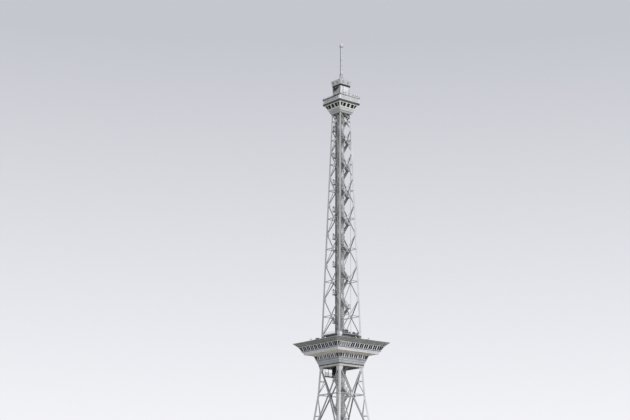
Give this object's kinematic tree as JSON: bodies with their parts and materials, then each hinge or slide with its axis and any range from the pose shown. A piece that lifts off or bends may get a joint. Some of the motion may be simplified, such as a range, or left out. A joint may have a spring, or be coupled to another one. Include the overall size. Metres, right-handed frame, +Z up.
{
  "type": "scale model of a lattice radio mast",
  "caption": "1:10 scale model of a square steel lattice radio mast on four insulated feet, with a two-storey restaurant under a wide eave, a glazed lookout, an open deck and an antenna.",
  "frame": {"origin": "centre of the square tower at ground level, on the underside of the plate under the lift shaft", "axes": "+Z up to the antenna tip, +X and +Y square to two neighbouring faces of the tower"},
  "size_m": [2.1934, 2.1934, 14.67],
  "materials": {
    "concrete": "cast and weathered",
    "porcelain": "brown glaze",
    "leg_steel": "light grey paint, weathered",
    "lattice_steel": "light grey paint, weathered",
    "stair_steel": "grey paint",
    "shaft_panel": "grey sheet, weathered",
    "beam_white": "off-white paint",
    "skirt_grey": "grey sheet",
    "floor_board": "tan boards",
    "parapet_grey": "light lavender-grey sheet",
    "eave_grey": "dull olive-grey sheet",
    "roof_grey": "standing-seam sheet",
    "window_glass": "dark, slightly green",
    "fitting_grey": "dark grey",
    "fascia_blue": "pale blue-grey sheet",
    "cream": "cream paint",
    "deck_dark": "dark grey",
    "cabin_white": "light grey-white sheet",
    "antenna_grey": "light grey"
  },
  "bodies": {
    "root": {"antenna_mast": "antenna_grey", "antenna_pyramid": "antenna_grey", "antenna_rod": "antenna_grey", "cabin_parapet": "cabin_white", "cabin_roof": "deck_dark", "cabin_walls": "cabin_white", "cable_riser": "stair_steel", "deck_parapet": "parapet_grey", "eave_soffit": "eave_grey", "foot_insulators": "porcelain", "foundation_blocks": "concrete", "leg_north_east": "leg_steel", "leg_north_west": "leg_steel", "leg_south_east": "leg_steel", "leg_south_west": "leg_steel", "lookout_base": "fascia_blue", "lookout_floor": "fitting_grey", "lookout_glass": "window_glass", "lookout_posts": "cream", "lookout_walls": "cream", "lower_bracing_east": "lattice_steel", "lower_bracing_north": "lattice_steel", "lower_bracing_south": "lattice_steel", "lower_bracing_west": "lattice_steel", "mast_bracing_east": "lattice_steel", "mast_bracing_north": "lattice_steel", "mast_bracing_south": "lattice_steel", "mast_bracing_west": "lattice_steel", "plan_bracing": "lattice_steel", "portal_braces": "lattice_steel", "promenade_ceiling": "floor_board", "promenade_floor": "floor_board", "promenade_glass": "window_glass", "promenade_posts": "parapet_grey", "promenade_walls": "parapet_grey", "radio_dishes": "fitting_grey", "restaurant_floor": "fitting_grey", "restaurant_glass": "window_glass", "restaurant_posts": "skirt_grey", "restaurant_ring_beam": "beam_white", "restaurant_roof": "roof_grey", "restaurant_walls": "skirt_grey", "roof_housing": "skirt_grey", "roof_housing_slab": "roof_grey", "roof_lamps": "fitting_grey", "roof_middle": "roof_grey", "service_platform": "fitting_grey", "shaft_base_plate": "concrete", "shaft_door_jambs": "shaft_panel", "shaft_posts": "shaft_panel", "shaft_walls": "shaft_panel", "stair_flights": "stair_steel", "stair_landings": "stair_steel", "viewing_deck": "deck_dark"}
  },
  "joints": []
}
